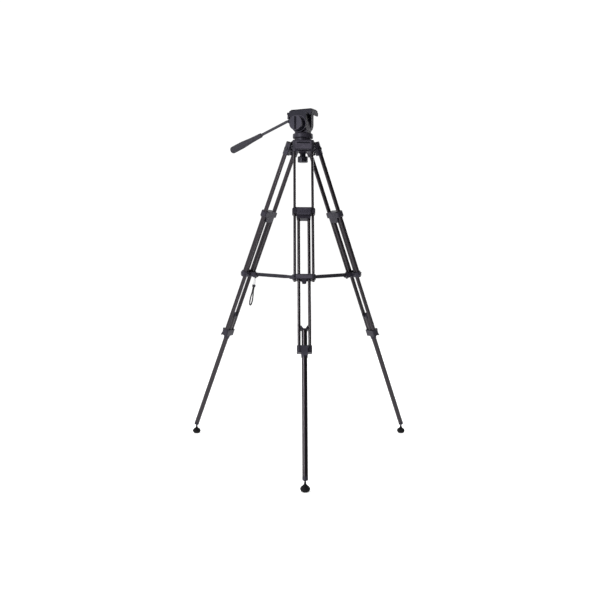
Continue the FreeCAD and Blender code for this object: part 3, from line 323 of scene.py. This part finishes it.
def turned_steel():
    """Bright steel with the rings that a lathe leaves."""
    shader = Shader("turned_steel")
    rings = shader.noise(900, 2, 0.5, (1, 1, 0.1))
    shader.link(shader.colors(rings, (0.3, (0.36, 0.36, 0.37)), (0.7, (0.55, 0.55, 0.56))), "Base Color")
    shader.set(metallic=1.0)
    shader.link(shader.span(rings, 0.22, 0.36), "Roughness")
    shader.bump(rings, 0.08, 0.0001)
    return shader.material


def braided_cord():
    """Dark braid, its threads in small raised bundles."""
    shader = Shader("braided_cord")
    strands = shader.node(
        "ShaderNodeTexVoronoi", {"Vector": shader.place, "Scale": 1500.0}, feature="F1"
    )
    distance = strands.outputs["Distance"]
    shader.link(
        shader.colors(distance, (0.1, (0.055, 0.053, 0.057)), (0.7, (0.012, 0.012, 0.013))), "Base Color"
    )
    shader.set(roughness=0.85, sheen=0.25, sheen_roughness=0.4, specular=0.2)
    shader.bump(distance, 0.7, 0.0005)
    return shader.material


# The colour, roughness, grain, clear coat and specular level of each moulding. Painted and
# blackened metal have the same satin look.
MOULDINGS = {
    "body_plastic": ((0.0140, 0.0125, 0.0180), 0.45, 0.35, 0.0, 0.26),
    "head_plastic": ((0.0048, 0.0050, 0.0084), 0.40, 0.25, 0.0, 0.17),
    "knob_plastic": ((0.0060, 0.0058, 0.0088), 0.34, 0.15, 0.06, 0.26),
    "lever_plastic": ((0.0275, 0.0252, 0.0352), 0.40, 0.25, 0.0, 0.26),
    "arm_plastic": ((0.0090, 0.0085, 0.0110), 0.45, 0.3, 0.0, 0.26),
    # The moulding below is the front panels' lighter plastic, and also paints the highlights on the knob's and the
    # cheek's rims.
    "panel_and_highlight_plastic": ((0.046, 0.042, 0.055), 0.42, 0.2, 0.0, 0.26),
    "rod_metal": ((0.019, 0.018, 0.022), 0.35, 0.1, 0.2, 0.26),
    "dark_steel": ((0.010, 0.010, 0.012), 0.3, 0.1, 0.2, 0.26),
    # The moulding below, near black with little shine, paints the shade in the knob's slot.
    "knob_slot_shade": ((0.0030, 0.0025, 0.0050), 0.5, 0.3, 0.0, 0.06),
    # The moulding below is the knob's plastic made lighter, which paints the light on the knob's end face.
    "knob_lit_plastic": ((0.0150, 0.0143, 0.0205), 0.38, 0.15, 0.0, 0.26),
}
RUBBERS = {
    "foot_rubber": (0.0025, 0.0025, 0.0032),
    "grip_rubber": (0.026, 0.025, 0.031),
    "pad_rubber": (0.007, 0.007, 0.0075),
}


def make_materials():
    made = {name: moulded_plastic(name, *look) for name, look in MOULDINGS.items()}
    for name, color in RUBBERS.items():
        made[name] = black_rubber(name, color)
    made["tube_metal"] = anodised_tube()
    made["steel"] = turned_steel()
    made["strap_cord"] = braided_cord()
    return made


# A node that is lighter than the rest of its slot: the knob's plastic made lighter, which paints the light on its
# end face.
OWN_LOOKS = {"handle_knob": "knob_lit_plastic"}


def dress_cad_nodes(materials):
    """Gives every CAD node its slot's material, or its own."""
    for part in RECORD["subparts"]:
        node = NODES[part["node"]]
        node.data.materials.clear()
        look = OWN_LOOKS.get(part["node"], part["material_slot"])
        node.data.materials.append(materials[look])


# ---------------------------------------------------------------- small pieces

# How far a small piece's root goes into the surface that it stands on, in millimetres.
SUNK = 0.4


def add_piece(name, mesh, body, material, place):
    """A detail piece that rides on a body and adds to its CAD nodes."""
    piece = bpy.data.objects.new(name, mesh)
    bpy.context.scene.collection.objects.link(piece)
    piece.matrix_world = place
    mesh.materials.append(material)
    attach(piece, body)


def circle(radius, level, sides):
    """A level ring of points, anticlockwise, in millimetres."""
    angles = [2 * math.pi * side / sides for side in range(sides)]
    return [(radius * math.cos(angle), radius * math.sin(angle), level) for angle in angles]


def rounded_corners(half_x, half_y, radius):
    """The corners of a rounded rectangle, anticlockwise, in millimetres."""
    steps = 5
    radius = min(radius, half_x, half_y)
    corners = []
    for quarter, (x, y) in enumerate(((1, 1), (-1, 1), (-1, -1), (1, -1))):
        for step in range(steps + 1):
            angle = math.pi / 2 * (quarter + step / steps)
            corners.append((
                x * (half_x - radius) + radius * math.cos(angle),
                y * (half_y - radius) + radius * math.sin(angle),
            ))
    return corners


def layered(rings, capped=True):
    """A mesh through rings of equal length, in millimetres."""
    mesh = bpy.data.meshes.new("rings")
    build = bmesh.new()
    levels = [[build.verts.new(Vector(point) / 1000) for point in ring] for ring in rings]
    for low, high in zip(levels, levels[1:]):
        for index in range(len(low)):
            following = (index + 1) % len(low)
            build.faces.new((low[index], low[following], high[following], high[index]))
    if capped:
        build.faces.new(tuple(reversed(levels[0])))
        build.faces.new(tuple(levels[-1]))
    build.to_mesh(mesh)
    build.free()
    return mesh


def tile(half_x, half_y, height, radius, edge=0.3, sunk=SUNK):
    """A rounded raised tile on a surface: its root is sunk in, its top edge is chamfered."""
    rings = []
    for inset, level in ((0, -sunk), (0, height - edge), (edge, height)):
        outline = rounded_corners(half_x - inset, half_y - inset, max(radius - inset, 0.05))
        rings.append([(x, y, level) for x, y in outline])
    return layered(rings)


def turned_part(profile, sides=32):
    """A lathe shape from (radius, height) pairs, in millimetres, from its root up."""
    return layered([circle(radius, height, sides) for radius, height in profile])


def hexagon(radius, level, sides):
    """A six-sided ring of as many points as a circle, in millimetres."""
    points = []
    for side in range(sides):
        angle = 2 * math.pi * side / sides
        from_flat = (angle + math.pi / 6) % (math.pi / 3) - math.pi / 6
        reach = radius * math.cos(math.pi / 6) / math.cos(from_flat)
        points.append((reach * math.cos(angle), reach * math.sin(angle), level))
    return points


def socket_head(radius, height):
    """A domed screw head with a six-sided socket."""
    sides = 36
    socket = radius * 0.55
    depth = 1.2
    return layered([
        circle(radius, -SUNK, sides),
        circle(radius, height * 0.55, sides),
        circle(radius * 0.86, height * 0.9, sides),
        hexagon(socket, height, sides),
        hexagon(socket, height - depth, sides),
    ])


def flat_ring(inner, outer, height):
    """A raised ring on a flat face, with a rounded top. Its section closes on itself."""
    sides = 64
    middle = (inner + outer) / 2
    section = (
        (outer, -SUNK), (outer, height * 0.5), ((outer + middle) / 2, height * 0.9),
        (middle, height), ((inner + middle) / 2, height * 0.9), (inner, height * 0.5),
        (inner, -SUNK), (outer, -SUNK),
    )
    return layered([circle(radius, level, sides) for radius, level in section], capped=False)


# ---------------------------------------------------------------- details on the parts

# Places in a leg's frame, in millimetres. A face is out of the leg's front, a side and a
# screw are across it, and the rest are heights from the hinge.
YOKE_FACE = 13
YOKE_SIDE = 44.8
PANEL_HEIGHT = 3.6
# The height of the dark tile that paints the shade of the yoke's recessed band.
RECESS_SHADE_HEIGHT = 12.6
BRACKET_FACE = 14
BRACKET_HEIGHT = -531
BRACKET_SCREW = 35.4
UPPER_LEVER_FACE = 20.35
UPPER_RIDGE = -273
LOWER_LEVER_FACE = 21.35
LOWER_RIDGE = -797.5


def dress_leg(side, materials):
    leg = leg_matrix(side)
    body = f"leg_{side}"

    def add(name, mesh, rider, slot, look, *spot):
        add_piece(f"{name}_{side}", mesh, rider, materials[look], at(leg, *spot))

    # the yoke's raised front panel, and near its top a dark tile that paints the shade of a recessed band
    add("yoke_panel", tile(31.5, 17, 0.7, 2.5, 0.5), body, "body_plastic", "panel_and_highlight_plastic",
        YOKE_FACE, 0, PANEL_HEIGHT, "x")
    add("yoke_recess_shade", tile(25.5, 3.4, 0.95, 1.2), body, "body_plastic", "knob_plastic",
        YOKE_FACE, 0, RECESS_SHADE_HEIGHT, "x")
    # the bracket's front panel, its screws, and the heads of the hinge bolt
    add("bracket_panel", tile(30, 6.6, 0.6, 1.5), body, "body_plastic", "panel_and_highlight_plastic",
        BRACKET_FACE, 0, BRACKET_HEIGHT - 0.4, "x")
    for hand, end in HANDS.items():
        add(f"bracket_screw_{hand}", socket_head(2.9, 1.1), body, "body_plastic", "dark_steel",
            BRACKET_FACE, end * BRACKET_SCREW, BRACKET_HEIGHT, "x")
        add(f"hinge_cap_{hand}", socket_head(5.6, 1.2), "crown", "dark_steel", "dark_steel",
            0, end * YOKE_SIDE, 0, "y" if end > 0 else "-y")
    # grip ridges on both flip levers, whose faces lean back a little
    for ridge in range(4):
        add(f"upper_lever_ridge{ridge}", tile(17, 0.6, 0.5, 0.6, 0.25), f"upper_lever_{side}",
            "lever_plastic", "lever_plastic",
            UPPER_LEVER_FACE - 0.02 * ridge, 0, UPPER_RIDGE - 2.8 * ridge, "x")
    for ridge in range(3):
        add(f"lower_lever_ridge{ridge}", tile(7.5, 0.5, 0.5, 0.5, 0.2), f"lower_lever_{side}",
            "lever_plastic", "lever_plastic",
            LOWER_LEVER_FACE - 0.1 * ridge, 0, LOWER_RIDGE - 2.7 * ridge, "x")
    add_treads(side, materials["foot_rubber"])


# The radius of each tread ring on a foot, from the ground up, in millimetres.
TREAD_RADII = (14.2, 15.9, 16.7)
TREAD_START = 3.4
TREAD_PITCH = 3.2


def add_treads(side, rubber):
    """Tread rings round the rubber foot."""
    ball = joint_point(f"foot_{side}_swivel")
    ground = Matrix.Translation((ball.x, ball.y, 0))
    for tread, radius in enumerate(TREAD_RADII):
        mesh = turned_part((
            (radius - 1.5, -1.1), (radius - 0.2, -0.9), (radius + 0.35, 0), (radius - 0.2, 0.9),
            (radius - 1.5, 1.1),
        ), 48)
        add_piece(
            f"foot_tread{tread}_{side}", mesh, f"foot_{side}", rubber,
            at(ground, 0, 0, TREAD_START + TREAD_PITCH * tread),
        )


# In millimetres: the height of the hub's pins above the floor, how far they are from its
# middle, and its cheeks from each arm's middle.
HUB_HEIGHT = 694
HUB_PIN = 48
HUB_CHEEK = 10.5


def dress_hub(materials):
    """Rivet heads on the three pairs of cheeks of the spreader's hub."""
    centre = Matrix.Translation((PAN_AXIS.x, PAN_AXIS.y, HUB_HEIGHT / 1000))
    rivet = ((3.6, -SUNK), (3.6, 0.6), (2.9, 1.2), (1.2, 1.5), (0.1, 1.55))
    for side, azimuth in LEG_AZIMUTHS.items():
        arm = centre @ Matrix.Rotation(math.radians(azimuth), 4, "Z")
        for hand, end in HANDS.items():
            add_piece(
                f"hub_rivet_{hand}_{side}", turned_part(rivet), "hub",
                materials["dark_steel"],
                at(arm, HUB_PIN, end * HUB_CHEEK, 0, "y" if end > 0 else "-y"),
            )


# Places in the head's frame, in millimetres, and the handle's slope in degrees.
KNOB_SLOT_FLOOR = -48.6
KNOB_FACE = -52.5
CHEEK_FACE = -27
DECK_SCREWS = {"front": 36, "back": -30}
DECK_HEIGHT = 42.5
PAD_TOP = 55.5
PAD_MIDDLE = 8
PAD_EDGE = -19.2
PAD_PITCH = 4.8
HANDLE_START = (-44, -36.5, 9.5)
HANDLE_SLOPE = 20.9
GRIP_RING_START = 229
GRIP_RING_PITCH = 9


def dress_head(materials):
    head = head_matrix()

    def add(name, mesh, rider, slot, look, *spot):
        add_piece(name, mesh, rider, materials[look], at(head, *spot))

    # a dark tile in the knob's slot, which paints the shade in it, and a raised ring round its face, made lighter
    # to paint the highlight on its edge
    add("knob_slot_shade", tile(4.2, 25.5, 3.4, 1.5, 0.3, 0.2), "handle_knob", "knob_plastic",
        "knob_slot_shade", 0, KNOB_SLOT_FLOOR, 0, "-y")
    add("knob_rim_highlight", flat_ring(25.2, 26.8, 0.5), "handle_knob", "knob_plastic", "panel_and_highlight_plastic",
        0, KNOB_FACE, 0, "-y")
    # a raised rim round the cheek's lower edge, made lighter to paint the highlight on that edge, and the deck's
    # screws
    add("cheek_rim_highlight", flat_ring(30.4, 32.6, 0.6), "tilt", "head_plastic", "panel_and_highlight_plastic",
        0, CHEEK_FACE, 0, "-y")
    for name, x in DECK_SCREWS.items():
        add(f"deck_screw_{name}", socket_head(2.4, 0.9), "tilt", "head_plastic", "dark_steel",
            x, CHEEK_FACE, DECK_HEIGHT, "-y")
    # the pad's ridges
    for ridge in range(9):
        add(f"pad_ridge{ridge}", tile(40, 0.8, 0.5, 0.8, 0.25), "plate", "pad_rubber",
            "pad_rubber", PAD_MIDDLE, PAD_EDGE + PAD_PITCH * ridge, PAD_TOP, "z")
    # raised rings round the grip
    grip = head @ Matrix.Translation(Vector(HANDLE_START) / 1000)
    grip = grip @ Matrix.Rotation(math.radians(-90 - HANDLE_SLOPE), 4, "Y")
    for ring in range(5):
        mesh = turned_part((
            (12.4, -1.3), (13.9, -1.1), (14.35, -0.4), (14.35, 0.4), (13.9, 1.1), (12.4, 1.3),
        ), 40)
        add_piece(
            f"grip_ring{ring}", mesh, "handle", materials["grip_rubber"],
            at(grip, 0, 0, GRIP_RING_START + GRIP_RING_PITCH * ring),
        )


# ---------------------------------------------------------------- strap

# The cord's route as (across, height) in millimetres, below the bead on the left leg.
STRAP_ROUTE = (
    (-3.1, 0),
    (-3.0, -9),
    (-3.4, -19),
    (-6.0, -31),
    (-8.9, -44),
    (-9.6, -57),
    (-8.2, -69),
    (-3.6, -77.5),
    (3.2, -78.0),
    (8.0, -70),
    (9.4, -58),
    (8.6, -45),
    (5.9, -32),
    (3.5, -20),
    (3.0, -10),
    (3.1, 0),
)
# The strap's lean in degrees, and how far below the bracket's eye its cord starts, in
# millimetres.
STRAP_LEAN = 12
STRAP_DROP = 40
CORD_DIAMETER = 0.0055


def strap_matrix():
    """The strap's frame: origin at the bracket's eye, Y across the leg, Z up the strap."""
    hang = Matrix.Rotation(math.radians(LEG_AZIMUTHS["left"]), 4, "Z")
    hang = hang @ Matrix.Rotation(math.radians(-STRAP_LEAN), 4, "Y")
    return Matrix.Translation(joint_point("strap_swing")) @ hang


def make_strap(materials):
    place = strap_matrix()
    data = bpy.data.curves.new("strap_loop", "CURVE")
    data.dimensions = "3D"
    data.bevel_depth = CORD_DIAMETER / 2
    data.bevel_resolution = 6
    data.resolution_u = 10
    data.use_fill_caps = True
    spline = data.splines.new("NURBS")
    spline.points.add(len(STRAP_ROUTE) - 1)
    for point, (across, height) in zip(spline.points, STRAP_ROUTE):
        here = place @ Vector((0, across / 1000, (height - STRAP_DROP) / 1000))
        point.co = (*here, 1)
    spline.order_u = 3
    spline.use_endpoint_u = True
    loop = bpy.data.objects.new("strap_loop", data)
    bpy.context.scene.collection.objects.link(loop)
    loop.data.materials.append(materials["strap_cord"])
    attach(loop, "strap")
    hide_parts("strap_cord")


make_camera()
MATERIALS = make_materials()
make_strap(MATERIALS)
make_studio()
dress_cad_nodes(MATERIALS)
for leg_side in LEG_AZIMUTHS:
    dress_leg(leg_side, MATERIALS)
dress_hub(MATERIALS)
dress_head(MATERIALS)
